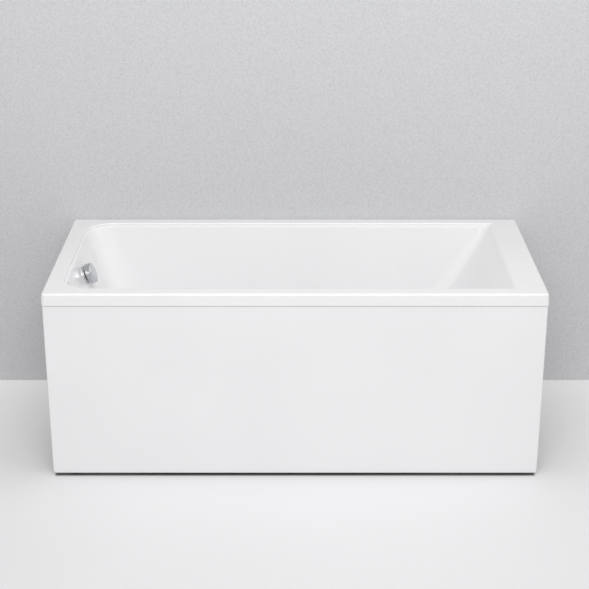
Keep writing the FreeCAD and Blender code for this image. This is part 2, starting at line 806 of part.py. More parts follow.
# a thumb facet across the front, its crease slanting down the wall
slope = box(-far, far, -far, 0, 0, far)
slope.rotate(V(0, 0, 0), ALONG_X, knob_facet_tilt)
slope.translate(V(0, -knob_facet_offset, knob_top))
slope.rotate(V(0, 0, 0), UP, knob_facet_turn)
knob = knob.cut(slope)
knob = knob.makeFillet(knob_edge_radius, edges_where(knob, lambda b: b.YMax - b.YMin > knob_radius / 2))
grub_z = knob_base + knob_bore_depth / 2
knob = knob.cut([
    rod(spindle_radius + 0.05, V(0, 0, knob_base - 1), UP, knob_bore_depth + 1),
    rod(grub_radius + 0.1, V(0, 0, grub_z), ALONG_X, knob_radius + 1),
])
nodes["overflow_knob"] = on_wall(knob)
nodes["knob_grub_screw"] = on_wall(
    rod(grub_radius, V(spindle_radius + 0.1, 0, grub_z), ALONG_X, grub_length)
)


# ---- overflow hose and cable: down along the wall, one bend, then along +X ----
class Route:
    """A straight run, one round bend and a second straight run, in a plane of constant Y."""

    def __init__(self, start, end, radius):
        self.start = start
        self.end = end
        self.radius = radius
        self.turn = math.radians(90 - foot_wall_tilt)
        fall = (start.z - end.z) / -wall_down.z
        self.corner = start + wall_down * fall
        self.cut_back = radius * math.tan(self.turn / 2)
        self.run_1 = fall - self.cut_back
        self.run_2 = end.x - self.corner.x - self.cut_back
        self.bend = radius * self.turn
        self.length = self.run_1 + self.bend + self.run_2
        self.bend_start = start + wall_down * self.run_1
        self.bend_end = self.corner + ALONG_X * self.cut_back
        self.centre = self.bend_end + UP * radius

    def at(self, s):
        if s <= self.run_1:
            return self.start + wall_down * s, wall_down
        if s >= self.run_1 + self.bend:
            return self.bend_end + ALONG_X * (s - self.run_1 - self.bend), ALONG_X
        angle = self.turn - (s - self.run_1) / self.radius
        tangent = V(math.cos(angle), 0, -math.sin(angle))
        inward = V(math.sin(angle), 0, math.cos(angle))
        return self.centre - inward * self.radius, tangent

    def path(self):
        middle = self.at(self.run_1 + self.bend / 2)[0]
        return Part.Wire([
            edge_line(self.start, self.bend_start), edge_arc(self.bend_start, middle, self.bend_end),
            edge_line(self.bend_end, self.end),
        ])

    def circle(self, s, radius):
        point, tangent = self.at(s)
        loop = Part.Wire([Part.Circle(V(0, 0, 0), UP, radius).toShape()])
        loop.Placement = FreeCAD.Placement(
            point, FreeCAD.Rotation(ALONG_Y, tangent.cross(ALONG_Y), tangent, "ZXY")
        )
        return loop

    def tube(self, radius):
        return self.path().makePipeShell([self.circle(0, radius)], True, False)


hose_start = wall_point(port_end, 0, port_depth)
hose_end = V(drain_x - hose_port_reach, 0, hose_port_height)
hose_straight = 2 * hose_crest
hose_run = hose_end.x - hose_start.x - (hose_start.z - hose_end.z) * wall_down.x / -wall_down.z
hose_bend_radius = (hose_run - hose_straight) / math.tan(math.radians(90 - foot_wall_tilt) / 2)
hose_route = Route(hose_start, hose_end, hose_bend_radius)
rib_count = int((hose_route.length - 2 * hose_straight) / hose_rib_pitch)
rib_pitch = (hose_route.length - 2 * hose_straight) / rib_count
rings = [hose_route.circle(0, hose_valley)]
for k in range(rib_count):
    for part, radius in ((0.0, hose_valley), (0.3, hose_crest), (0.6, hose_crest), (0.9, hose_valley)):
        rings.append(hose_route.circle(hose_straight + (k + part) * rib_pitch, radius))
rings.append(hose_route.circle(hose_route.length, hose_valley))
hose = Part.makeLoft(rings, True, True).cut(hose_route.tube(hose_bore))
print("hose: ribs", rib_count, "bend radius", round(hose_bend_radius, 1),
      "length", round(hose_route.length, 1))
nodes["overflow_hose"] = hose
upper_nut = on_wall(ring(
    hose_nut_radius, hose_valley + hose_nut_clearance, V(port_end - hose_nut_length / 2, 0, port_depth),
    ALONG_X, hose_nut_length
))
lower_nut = ring(
    hose_nut_radius, hose_valley + hose_nut_clearance, hose_end - ALONG_X * (hose_nut_length / 2),
    ALONG_X, hose_nut_length
)
nodes["hose_nuts"] = group([upper_nut, lower_nut])

plunger_axis = rocker_pin_height - lower_arm * math.cos(math.radians(rocker_swing))
cable_start = wall_point(cable_exit, -drum_radius, cable_z)
cable_end = V(drain_x - cable_port_reach, -drum_radius, plunger_axis)
cable_route = Route(cable_start, cable_end, cable_bend_radius)
nodes["cable_sheath"] = cable_route.tube(cable_radius)
print("cable: length", round(cable_route.length, 1), "bend radius", cable_bend_radius, "volume ratio",
      round(nodes["cable_sheath"].Volume / (math.pi * cable_radius ** 2 * cable_route.length), 4))
upper_ferrule = on_wall(ring(
    ferrule_radius, cable_radius + 0.05, V(cable_exit, -drum_radius, cable_z), ALONG_X, ferrule_length
))
lower_ferrule = ring(
    ferrule_radius, cable_radius + 0.05, cable_end - ALONG_X * ferrule_length, ALONG_X, ferrule_length
)
nodes["cable_ferrules"] = group([upper_ferrule, lower_ferrule])

# ---- waste fitting under the floor, drain flange and plug ----
waste_top = backing_underside - waste_gasket_thickness
nodes["waste_gasket"] = ring(
    waste_flange_radius, drain_hole_radius, V(drain_x, 0, waste_top), UP, waste_gasket_thickness
)
neck_bottom = chamber_floor - outlet_neck_length
waste = rod(chamber_radius, V(drain_x, 0, chamber_floor), UP, waste_top - chamber_floor).fuse([
    rod(waste_flange_radius, V(drain_x, 0, waste_top - waste_flange_thickness), UP,
        waste_flange_thickness),
    rod(outlet_neck_radius, V(drain_x, 0, neck_bottom), UP, outlet_neck_length),
    rod(hose_valley, hose_end, ALONG_X, hose_port_reach),
    rod(cable_port_radius, cable_end, ALONG_X, cable_port_reach),
])
chamber_wall = chamber_radius - chamber_bore
pin_x = drain_x + rocker_pin_x
pin_half = math.sqrt(chamber_radius ** 2 - rocker_pin_x ** 2) - 0.5
waste = waste.cut([
    rod(chamber_bore, V(drain_x, 0, chamber_floor + chamber_wall), UP, waste_top - chamber_floor),
    rod(outlet_neck_bore, V(drain_x, 0, neck_bottom - 1), UP, outlet_neck_length + 2 * chamber_wall),
    rod(hose_bore - 1, hose_end - ALONG_X, ALONG_X, hose_port_reach),
    rod(plunger_radius + spindle_clearance, cable_end + ALONG_X * chamber_wall, ALONG_X,
        cable_port_reach - chamber_wall),
    rod(cable_bore, cable_end - ALONG_X, ALONG_X, cable_port_reach),
    rod(rocker_pin_radius + rocker_pin_clearance, V(pin_x, -chamber_radius, rocker_pin_height),
        ALONG_Y, 2 * chamber_radius),
]).removeSplitter()
nodes["waste_body"] = waste

flange_top_z = drain_seat + drain_flange_thickness
drain = ring(drain_flange_radius, drain_neck_bore, V(drain_x, 0, drain_seat), UP,
             drain_flange_thickness)
drain = drain.fuse(ring(
    drain_neck_radius, drain_neck_bore, V(drain_x, 0, drain_seat - drain_neck_length), UP,
    drain_neck_length + 1
))
guide_low = drain_seat - drain_neck_length + drain_guide_inset
guide_high = drain_seat - drain_guide_inset
guide = [rod(drain_guide_radius, V(drain_x, 0, guide_low), UP, guide_high - guide_low)]
for arm in spider(drain_neck_bore, guide_low + drain_guide_inset, guide_high - drain_guide_inset):
    arm.translate(V(drain_x, 0, 0))
    guide.append(arm)
nodes["drain_flange"] = drain.fuse(guide).cut(
    rod(stem_radius + stem_clearance, V(drain_x, 0, guide_low - 1), UP, guide_high - guide_low + 2)
).removeSplitter()

seal_top = flange_top_z + plug_seal_thickness
cap_top = seal_top + plug_thickness
hub_bottom = flange_top_z - 3
stem_top = seal_top - 1
nodes["plug_seal"] = ring(
    plug_seal_radius, plug_hub_radius + 0.3, V(drain_x, 0, flange_top_z), UP, plug_seal_thickness
)
cap = rod(plug_radius, V(drain_x, 0, seal_top), UP, plug_thickness)
cap = cap.makeFillet(plug_thickness / 2, edges_where(cap, lambda b: b.ZMin > cap_top - 0.1))
nodes["plug_cap"] = cap.fuse(
    rod(plug_hub_radius, V(drain_x, 0, hub_bottom), UP, seal_top - hub_bottom)
).cut(rod(stem_radius + 0.05, V(drain_x, 0, hub_bottom - 1), UP, stem_top - hub_bottom + 1.5))

swing = math.radians(rocker_swing)
upper_tip = V(pin_x + upper_arm * math.cos(swing), 0, rocker_pin_height - upper_arm * math.sin(swing))
lower_tip = V(pin_x - lower_arm * math.sin(swing), 0, plunger_axis)
stem_bottom = upper_tip.z + arm_tip_radius + link_clearance
nodes["plug_stem"] = rod(stem_radius, V(drain_x, 0, stem_bottom), UP, stem_top - stem_bottom)


def rocker_arm(tip, y):
    """Flat arm from the hub to a rounded tip."""
    start = V(pin_x, y, rocker_pin_height)
    reach = V(tip.x, y, tip.z) - start
    across = V(-reach.z, 0, reach.x).normalize() * (arm_thickness / 2)
    corners = [start + across, start + reach + across, start + reach - across, start - across]
    blade = Part.Face(Part.makePolygon(corners + corners[:1])).extrude(V(0, arm_width, 0))
    return blade.fuse(rod(arm_tip_radius, start + reach, ALONG_Y, arm_width))


lower_y = -drum_radius - arm_width / 2
upper_y = -arm_width / 2
rocker = rod(rocker_hub_radius, V(pin_x, lower_y, rocker_pin_height), ALONG_Y,
             upper_y + arm_width - lower_y)
nodes["plug_rocker"] = rocker.fuse([rocker_arm(lower_tip, lower_y), rocker_arm(upper_tip, upper_y)]).cut(
    rod(rocker_pin_radius + rocker_pin_clearance, V(pin_x, lower_y - 1, rocker_pin_height), ALONG_Y,
        upper_y + arm_width - lower_y + 2)
).removeSplitter()
nodes["rocker_pin"] = rod(rocker_pin_radius, V(pin_x, -pin_half, rocker_pin_height), ALONG_Y,
                          2 * pin_half)

nose_end = lower_tip.x - arm_tip_radius - link_clearance
plunger_start = V(nose_end - plunger_nose_length, -drum_radius, plunger_axis)
plunger_back = cable_end.x + chamber_wall + 1
nodes["cable_plunger"] = rod(
    plunger_radius, V(plunger_back, -drum_radius, plunger_axis), ALONG_X,
    plunger_start.x - plunger_back
).fuse(rod(plunger_nose_radius, plunger_start, ALONG_X, plunger_nose_length))


# ---- trap and outlet pipe ----
def trap_point(y, z):
    return V(drain_x, y, z)


trap_far = 2 * trap_bend_radius
trap_low = trap_floor_gap + trap_radius + trap_bend_radius
elbow_start = trap_low + trap_riser
outlet_height = elbow_start + trap_elbow_radius
elbow_end = trap_far + trap_elbow_radius
diagonal = math.sqrt(0.5)
trap_top = neck_bottom
spigot_end = elbow_end + trap_spigot_length
trap_path = Part.Wire([
    edge_line(trap_point(0, trap_top), trap_point(0, trap_low)),
    edge_arc(trap_point(0, trap_low), trap_point(trap_bend_radius, trap_low - trap_bend_radius),
             trap_point(trap_far, trap_low)),
    edge_line(trap_point(trap_far, trap_low), trap_point(trap_far, elbow_start)),
    edge_arc(trap_point(trap_far, elbow_start),
             trap_point(elbow_end - trap_elbow_radius * diagonal,
                        elbow_start + trap_elbow_radius * diagonal),
             trap_point(elbow_end, outlet_height)),
    edge_line(trap_point(elbow_end, outlet_height), trap_point(spigot_end, outlet_height)),
])


def trap_tube(radius):
    loop = Part.Wire([Part.Circle(trap_point(0, trap_top), UP, radius).toShape()])
    return trap_path.makePipeShell([loop], True, False)


trap = trap_tube(trap_radius).fuse(rod(
    outlet_neck_radius, trap_point(0, trap_top - trap_collar_height), UP, trap_collar_height
)).cut(trap_tube(trap_bore))
nodes["trap_body"] = trap


def union_nut(seat, direction, pipe_radius, inner_radius):
    """Ring nut whose lip bears on a collar at seat and whose thread covers the pipe ahead."""
    back = seat - direction * trap_nut_lip
    body = rod(trap_nut_radius, back, direction, trap_nut_length)
    return body.cut([
        rod(inner_radius + trap_nut_clearance, back - direction, direction, trap_nut_length + 2),
        rod(pipe_radius + trap_nut_clearance, seat, direction, trap_nut_length + 2),
    ])


pipe_start = spigot_end - outlet_pipe_overlap
nodes["trap_inlet_nut"] = union_nut(
    trap_point(0, trap_top - trap_collar_height), UP, outlet_neck_radius, trap_radius
)
nodes["trap_outlet_nut"] = union_nut(
    trap_point(pipe_start, outlet_height), ALONG_Y, outlet_pipe_radius, trap_radius
)
pipe_end = half_width - outlet_pipe_inset
pipe = rod(outlet_pipe_radius, trap_point(pipe_start, outlet_height), ALONG_Y, pipe_end - pipe_start)
bead = rod(
    outlet_pipe_radius + outlet_bead_height,
    trap_point(pipe_end - outlet_spigot_length - outlet_bead_width, outlet_height), ALONG_Y,
    outlet_bead_width
)
nodes["outlet_pipe"] = pipe.fuse(bead).cut(rod(
    outlet_pipe_bore, trap_point(pipe_start - 1, outlet_height), ALONG_Y, pipe_end - pipe_start + 2
))

# ---- one file for each named piece ----
os.makedirs("parts", exist_ok=True)
for name, shape in nodes.items():
    shape.exportStep("parts/" + name + ".step")
print("pieces:", len(nodes))
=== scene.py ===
import json
import math

import bmesh
import bpy
from mathutils import Matrix, Vector


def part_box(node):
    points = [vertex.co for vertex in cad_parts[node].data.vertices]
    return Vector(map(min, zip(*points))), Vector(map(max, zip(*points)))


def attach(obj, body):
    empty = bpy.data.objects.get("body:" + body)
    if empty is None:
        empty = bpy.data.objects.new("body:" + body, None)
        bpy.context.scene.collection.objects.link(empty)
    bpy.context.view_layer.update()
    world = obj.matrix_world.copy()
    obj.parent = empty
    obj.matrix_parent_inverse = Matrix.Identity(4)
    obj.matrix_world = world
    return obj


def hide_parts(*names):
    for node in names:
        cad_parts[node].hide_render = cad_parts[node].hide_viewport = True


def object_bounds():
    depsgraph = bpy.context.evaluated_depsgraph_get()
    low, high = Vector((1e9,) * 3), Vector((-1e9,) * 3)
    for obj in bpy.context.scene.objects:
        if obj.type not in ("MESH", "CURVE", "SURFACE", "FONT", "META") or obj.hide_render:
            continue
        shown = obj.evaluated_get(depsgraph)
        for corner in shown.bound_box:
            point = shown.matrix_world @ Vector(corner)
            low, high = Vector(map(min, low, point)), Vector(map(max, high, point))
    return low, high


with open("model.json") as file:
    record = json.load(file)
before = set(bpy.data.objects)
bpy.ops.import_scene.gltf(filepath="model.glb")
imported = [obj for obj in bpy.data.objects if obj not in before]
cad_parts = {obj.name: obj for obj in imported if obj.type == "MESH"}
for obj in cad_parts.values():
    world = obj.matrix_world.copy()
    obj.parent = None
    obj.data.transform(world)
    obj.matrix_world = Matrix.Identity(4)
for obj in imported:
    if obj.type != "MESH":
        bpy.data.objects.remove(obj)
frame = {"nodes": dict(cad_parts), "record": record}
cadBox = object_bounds()
print("frame loaded:", len(frame["nodes"]), "nodes")

corners = ("front_left", "front_right", "rear_left", "rear_right")
mm = 0.001
mergeDistance = 0.01 * mm  # corners nearer to each other than this count as one


# camera: the photograph's viewpoint, found from the corners of rim and panel
view = {
    "place": (-0.0016, -4.188, 2.1172),
    "tilt": 68.489,  # degrees from straight down
    "lens": 85.81,
    "sensor": 36.0,
    "clipEnd": 60.0,
}


def makeCamera():
    camera = bpy.data.objects.new("camera", bpy.data.cameras.new("camera"))
    camera.location = view["place"]
    camera.rotation_euler = (math.radians(view["tilt"]), 0, 0)
    camera.data.lens = view["lens"]
    camera.data.sensor_width = view["sensor"]
    camera.data.clip_end = view["clipEnd"]
    bpy.context.scene.collection.objects.link(camera)
    bpy.context.scene.camera = camera


makeCamera()
print("camera placed")


# shader helpers
def startMaterial(name, **sockets):
    material = bpy.data.materials.new(name)
    material.use_nodes = True
    tree = material.node_tree
    tree.nodes.clear()
    out = tree.nodes.new("ShaderNodeOutputMaterial")
    shader = tree.nodes.new("ShaderNodeBsdfPrincipled")
    tree.links.new(shader.outputs["BSDF"], out.inputs["Surface"])
    for socket, value in sockets.items():
        shader.inputs[socket].default_value = value
    where = tree.nodes.new("ShaderNodeTexCoord").outputs["Object"]
    return material, tree, shader, where


def stretched(tree, where, scale, turn=(0, 0, 0), kind="POINT"):
    mapping = tree.nodes.new("ShaderNodeMapping")
    mapping.vector_type = kind
    mapping.inputs["Rotation"].default_value = turn
    mapping.inputs["Scale"].default_value = scale
    tree.links.new(where, mapping.inputs["Vector"])
    return mapping.outputs["Vector"]


def noise(tree, where, scale, detail=2.0, rough=0.5, distortion=0.0):
    node = tree.nodes.new("ShaderNodeTexNoise")
    node.inputs["Scale"].default_value = scale
    node.inputs["Detail"].default_value = detail
    node.inputs["Roughness"].default_value = rough
    node.inputs["Distortion"].default_value = distortion
    tree.links.new(where, node.inputs["Vector"])
    return node.outputs["Fac"]


def cells(tree, where, scale, output="Distance"):
    node = tree.nodes.new("ShaderNodeTexVoronoi")
    node.inputs["Scale"].default_value = scale
    tree.links.new(where, node.inputs["Vector"])
    return node.outputs[output]


def spread(tree, value, low, high, fromLow=0.3, fromHigh=0.7):
    node = tree.nodes.new("ShaderNodeMapRange")
    node.inputs["From Min"].default_value = fromLow
    node.inputs["From Max"].default_value = fromHigh
    node.inputs["To Min"].default_value = low
    node.inputs["To Max"].default_value = high
    tree.links.new(value, node.inputs["Value"])
    return node.outputs["Result"]


def blendColours(tree, value, stops):
    ramp = tree.nodes.new("ShaderNodeValToRGB")
    elements = ramp.color_ramp.elements
    while len(elements) < len(stops):
        elements.new(0.5)
    for element, (place, colour) in zip(elements, stops):
        element.position = place
        element.color = (*colour, 1)
    tree.links.new(value, ramp.inputs["Fac"])
    return ramp.outputs["Color"]


def combine(tree, kind, a, b=0.0):
    node = tree.nodes.new("ShaderNodeMath")
    node.operation = kind
    for socket, value in zip(node.inputs, (a, b)):
        if isinstance(value, (int, float)):
            socket.default_value = value
        else:
            tree.links.new(value, socket)
    return node.outputs["Value"]


def mixColours(tree, share, base, colour):
    # from the base to one fixed colour, as the share goes from 0 to 1
    mix = tree.nodes.new("ShaderNodeMix")
    mix.data_type = "RGBA"
    tree.links.new(share, mix.inputs["Factor"])
    tree.links.new(base, mix.inputs["A"])
    mix.inputs["B"].default_value = (*colour, 1)
    return mix.outputs["Result"]


def axesOf(tree, where):
    node = tree.nodes.new("ShaderNodeSeparateXYZ")
    tree.links.new(where, node.inputs["Vector"])
    return node.outputs


def relief(tree, shader, height, strength, depth):
    bump = tree.nodes.new("ShaderNodeBump")
    bump.inputs["Strength"].default_value = strength
    bump.inputs["Distance"].default_value = depth
    tree.links.new(height, bump.inputs["Height"])
    tree.links.new(bump.outputs["Normal"], shader.inputs["Normal"])


def colourFrom(tree, shader, colour):
    tree.links.new(colour, shader.inputs["Base Color"])


def roughnessFrom(tree, shader, value, low, high):
    tree.links.new(spread(tree, value, low, high), shader.inputs["Roughness"])


# colours of the finishes that vary, as (place on the ramp, colour)
tones = {
    "laminate": [(0.35, (0.50, 0.45, 0.33)), (0.52, (0.66, 0.62, 0.50)), (0.68, (0.78, 0.76, 0.68))],
    "chips": [(0.0, (0.24, 0.15, 0.07)), (0.4, (0.42, 0.29, 0.15)), (1.0, (0.60, 0.46, 0.28))],
    "pine": [(0.15, (0.44, 0.26, 0.11)), (0.6, (0.66, 0.47, 0.25)), (0.9, (0.74, 0.57, 0.34))],
    "powder": [(0.32, (0.47, 0.48, 0.49)), (0.55, (0.56, 0.57, 0.58)), (0.8, (0.60, 0.61, 0.61))],
    "zinc": [(0.3, (0.48, 0.49, 0.50)), (0.6, (0.64, 0.65, 0.66)), (0.8, (0.70, 0.69, 0.64))],
    "chrome": [(0.3, (0.52, 0.535, 0.56)), (0.7, (0.62, 0.63, 0.65))],
    "brass": [(0.3, (0.42, 0.28, 0.10)), (0.55, (0.70, 0.52, 0.22)), (0.8, (0.80, 0.62, 0.30))],
}


# finishes
def glossAcrylic(name, dark, pale, low, high):
    # vacuum-formed sheet: deep gloss, a faint waviness and a slow unevenness of tone
    material, tree, shader, where = startMaterial(name, IOR=1.49)
    slow = noise(tree, where, scale=3.0, detail=1.0)
    colourFrom(tree, shader, blendColours(tree, slow, [(0.3, dark), (0.7, pale)]))
    smear = noise(tree, stretched(tree, where, (1, 1, 2.5)), scale=9.0, detail=3.0, rough=0.6)
    roughnessFrom(tree, shader, smear, low, high)
    relief(tree, shader, noise(tree, where, scale=26.0, detail=1.0), strength=0.05, depth=0.6 * mm)
    return material


def glassLaminate():
    # chopped strands wetted out with resin, rolled on by hand
    material, tree, shader, where = startMaterial("glass laminate", IOR=1.52)
    strands = []
    strandSize = (50 * mm, 3.5 * mm, 3.5 * mm)
    for turn in (0.0, 0.9, 1.9, 2.6):
        # turned first, then stretched, so that the strands run several ways
        lay = stretched(tree, where, strandSize, (turn * 1.3, turn, turn * 0.8), "TEXTURE")
        strands.append(noise(tree, lay, scale=1.0, detail=1.0, rough=0.5, distortion=0.6))
    mat = combine(tree, "MAXIMUM", combine(tree, "MAXIMUM", strands[0], strands[1]),
                  combine(tree, "MAXIMUM", strands[2], strands[3]))
    pools = noise(tree, where, scale=12.0, detail=3.0)
    tone = combine(tree, "ADD", combine(tree, "MULTIPLY", mat, 0.6),
                   combine(tree, "MULTIPLY", pools, 0.4))
    colourFrom(tree, shader, blendColours(tree, tone, tones["laminate"]))
    roughnessFrom(tree, shader, pools, low=0.28, high=0.6)
    relief(tree, shader, tone, strength=0.9, depth=1.6 * mm)
    return material


def chipBoard():
    material, tree, shader, where = startMaterial("chip board", Roughness=0.78)
    density = 240.0  # chips per metre
    chips = cells(tree, stretched(tree, where, (1, 1, 2.2)), density, "Color")
    lone = tree.nodes.new("ShaderNodeSeparateColor")
    tree.links.new(chips, lone.inputs["Color"])
    colourFrom(tree, shader, blendColours(tree, lone.outputs["Red"], tones["chips"]))
    relief(tree, shader, cells(tree, where, density), strength=0.5, depth=0.5 * mm)
    return material


def pineWood():
    material, tree, shader, where = startMaterial("pine batten")
    along = stretched(tree, where, (0.6, 9, 9))
    rings = tree.nodes.new("ShaderNodeTexWave")
    rings.wave_type = "RINGS"
    rings.rings_direction = "X"
    rings.inputs["Scale"].default_value = 2.4
    rings.inputs["Distortion"].default_value = 5.0
    rings.inputs["Detail"].default_value = 2.0
    tree.links.new(along, rings.inputs["Vector"])
    fibre = noise(tree, stretched(tree, where, (20, 700, 700)), scale=1.0, detail=3.0)
    grain = combine(tree, "ADD", combine(tree, "MULTIPLY", rings.outputs["Fac"], 0.7),
                    combine(tree, "MULTIPLY", fibre, 0.3))
    colourFrom(tree, shader, blendColours(tree, grain, tones["pine"]))
    roughnessFrom(tree, shader, fibre, low=0.55, high=0.75)
    relief(tree, shader, fibre, strength=0.35, depth=0.4 * mm)
    return material


def powderCoat():
    material, tree, shader, where = startMaterial("powder coat", IOR=1.5)
    peel = noise(tree, where, scale=900.0, detail=2.0)
    dust = noise(tree, where, scale=14.0, detail=4.0, rough=0.65)
    colourFrom(tree, shader, blendColours(tree, dust, tones["powder"]))
    roughnessFrom(tree, shader, dust, low=0.34, high=0.52)
    relief(tree, shader, peel, strength=0.3, depth=0.3 * mm)
    return material


def zincPlate():
    material, tree, shader, where = startMaterial("zinc plate", Metallic=1.0)
    bloom = noise(tree, where, scale=90.0, detail=4.0, rough=0.6)
    colourFrom(tree, shader, blendColours(tree, bloom, tones["zinc"]))
    roughnessFrom(tree, shader, bloom, low=0.24, high=0.46)
    relief(tree, shader, noise(tree, where, scale=1200.0, detail=2.0), strength=0.2, depth=0.2 * mm)
    return material


def mouldedPlastic(name, dark, pale, low, high, grain, depth):
    material, tree, shader, where = startMaterial(name, IOR=1.49)
    flow = noise(tree, stretched(tree, where, (1, 1, 3)), scale=22.0, detail=3.0, rough=0.6)
    colourFrom(tree, shader, blendColours(tree, flow, [(0.3, dark), (0.7, pale)]))
    roughnessFrom(tree, shader, flow, low, high)
    relief(tree, shader, noise(tree, where, scale=grain, detail=2.0), strength=0.3, depth=depth)
    return material


def chromePlate():
    material, tree, shader, where = startMaterial("satin chrome", Metallic=1.0)
    wiped = noise(tree, stretched(tree, where, (1, 6, 1)), scale=60.0, detail=4.0, rough=0.7)
    colourFrom(tree, shader, blendColours(tree, wiped, tones["chrome"]))
    roughnessFrom(tree, shader, wiped, low=0.10, high=0.2)
    relief(tree, shader, noise(tree, where, scale=500.0, detail=2.0), strength=0.04, depth=0.2 * mm)
    return material


def castBrass():
    material, tree, shader, where = startMaterial("brass", Metallic=1.0)
    tarnish = noise(tree, where, scale=110.0, detail=4.0, rough=0.65)
    colourFrom(tree, shader, blendColours(tree, tarnish, tones["brass"]))
    roughnessFrom(tree, shader, tarnish, low=0.22, high=0.45)
    relief(tree, shader, noise(tree, where, scale=1500.0, detail=1.0), strength=0.15, depth=0.2 * mm)
    return material


finishes = {
    "acrylic": glossAcrylic(
        "gloss acrylic", (0.868, 0.866, 0.876), (0.886, 0.884, 0.893), low=0.09, high=0.15),
    "panel_plastic": glossAcrylic(
        "panel sheet", (0.858, 0.856, 0.868), (0.878, 0.876, 0.887), low=0.16, high=0.24),
    "laminate": glassLaminate(),
    "board": chipBoard(),
    "batten_wood": pineWood(),
    "frame_steel": powderCoat(),
    "zinc": zincPlate(),
    "black_plastic": mouldedPlastic(
        "black nylon", (0.014, 0.014, 0.015), (0.03, 0.03, 0.032),
        low=0.38, high=0.55, grain=1400.0, depth=0.3 * mm),
    "white_plastic": mouldedPlastic(
        "white polypropylene", (0.74, 0.75, 0.74), (0.80, 0.80, 0.79),
        low=0.26, high=0.42, grain=900.0, depth=0.2 * mm),
    "grey_plastic": mouldedPlastic(
        "grey pipe plastic", (0.26, 0.27, 0.29), (0.31, 0.32, 0.34),
        low=0.3, high=0.45, grain=700.0, depth=0.2 * mm),
    "hose_plastic": mouldedPlastic(
        "hose plastic", (0.60, 0.62, 0.62), (0.70, 0.71, 0.71),
        low=0.3, high=0.48, grain=600.0, depth=0.2 * mm),
    "cable_plastic": mouldedPlastic(
        "cable sheath", (0.05, 0.05, 0.055), (0.09, 0.09, 0.095),
        low=0.35, high=0.5, grain=1500.0, depth=0.2 * mm),
    "rubber": mouldedPlastic(
        "black rubber", (0.018, 0.018, 0.018), (0.035, 0.034, 0.033),
        low=0.62, high=0.82, grain=1800.0, depth=0.4 * mm),
    "chrome": chromePlate(),
    "brass": castBrass(),
}


def dressNodes():
    slots = {part["node"]: part["material_slot"] for part in frame["record"]["subparts"]}
    for name, node in frame["nodes"].items():
        for slot in node.material_slots:
            slot.material = finishes[slots[name]]


dressNodes()
print("finishes made:", len(finishes))


# mesh helpers
def keepPiece(name, mesh, body, slot, replaced=()):
    mesh.materials.clear()
    mesh.materials.append(finishes[slot])
    piece = bpy.data.objects.new(name, mesh)
    bpy.context.scene.collection.objects.link(piece)
    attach(piece, body)
    if replaced:
        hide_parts(*replaced)


def meshFrom(work, name):
    mesh = bpy.data.meshes.new(name)
    work.to_mesh(mesh)
    work.free()
    return mesh


def solidsOf(node):
    # lowest and highest corner of each loose solid of a node
    work = bmesh.new()
    work.from_mesh(frame["nodes"][node].data)
    bmesh.ops.remove_doubles(work, verts=work.verts, dist=mergeDistance)
    left = set(work.verts)
    boxes = []
    while left:
        stack = [left.pop()]
        group = []
        while stack:
            vert = stack.pop()
            group.append(vert.co.copy())
            near = [edge.other_vert(vert) for edge in vert.link_edges]
            fresh = [other for other in near if other in left]
            left.difference_update(fresh)
            stack.extend(fresh)
        low = Vector(min(point[k] for point in group) for k in range(3))
        high = Vector(max(point[k] for point in group) for k in range(3))
        boxes.append((low, high))
    work.free()
    return sorted(boxes, key=lambda box: (round(box[0].x, 4), round(box[0].y, 4)))


def smoothByAngle(mesh, angle):
    work = bmesh.new()
    work.from_mesh(mesh)
    bmesh.ops.recalc_face_normals(work, faces=work.faces)
    for face in work.faces:
        face.smooth = True
    for edge in work.edges:
        sharp = len(edge.link_faces) != 2 or edge.calc_face_angle(0) > math.radians(angle)
        edge.smooth = not sharp
    work.to_mesh(mesh)
    work.free()
    return mesh


def addLathe(work, profile, segments):
    # turns (radius, height) points round Z; a radius of zero closes the form
    rings = []
    for radius, height in profile:
        if radius == 0:
            rings.append([work.verts.new((0, 0, height))])
            continue
        rings.append([
            work.verts.new((radius * math.cos(turn), radius * math.sin(turn), height))
            for turn in (2 * math.pi * k / segments for k in range(segments))
        ])
    for a, b in zip(rings, rings[1:]):
        for k in range(segments):
            n = (k + 1) % segments
            loop = [a[k % len(a)], a[n % len(a)], b[n % len(b)], b[k % len(b)]]
            work.faces.new(list(dict.fromkeys(loop)))


def roundedEdge(radius, height, edge, steps=4):
    # profile points that round off a side at this radius into a top at this height
    return [
        (radius - edge + edge * math.cos(turn), height + edge * (math.sin(turn) - 1))
        for turn in (math.pi / 2 * k / steps for k in range(steps + 1))
    ]


# Geometry Nodes helpers
def newTree(name, sizes):
    tree = bpy.data.node_groups.new(name, "GeometryNodeTree")
    tree.interface.new_socket("Geometry", in_out="INPUT", socket_type="NodeSocketGeometry")
    for label, value in sizes.items():
        kind = "NodeSocketInt" if isinstance(value, int) else "NodeSocketFloat"
        socket = tree.interface.new_socket(label, in_out="INPUT", socket_type=kind)
        socket.default_value = value
    tree.interface.new_socket("Finish", in_out="INPUT", socket_type="NodeSocketMaterial")
    tree.interface.new_socket("Geometry", in_out="OUTPUT", socket_type="NodeSocketGeometry")
    return tree, tree.nodes.new("NodeGroupInput").outputs


def treeNode(tree, kind, links=(), **settings):
    node = tree.nodes.new(kind)
    for name, value in settings.items():
        setattr(node, name, value)
    for socket, source in dict(links).items():
        if isinstance(source, bpy.types.NodeSocket):
            tree.links.new(source, node.inputs[socket])
        else:
            node.inputs[socket].default_value = source
    return node


def closeTree(tree, given, geometry):
    solid = treeNode(tree, "GeometryNodeRealizeInstances", {"Geometry": geometry})
    dressed = treeNode(tree, "GeometryNodeSetMaterial", {
        "Geometry": solid.outputs["Geometry"], "Material": given["Finish"],
    })
    treeNode(tree, "NodeGroupOutput", {"Geometry": dressed.outputs["Geometry"]})
    return tree


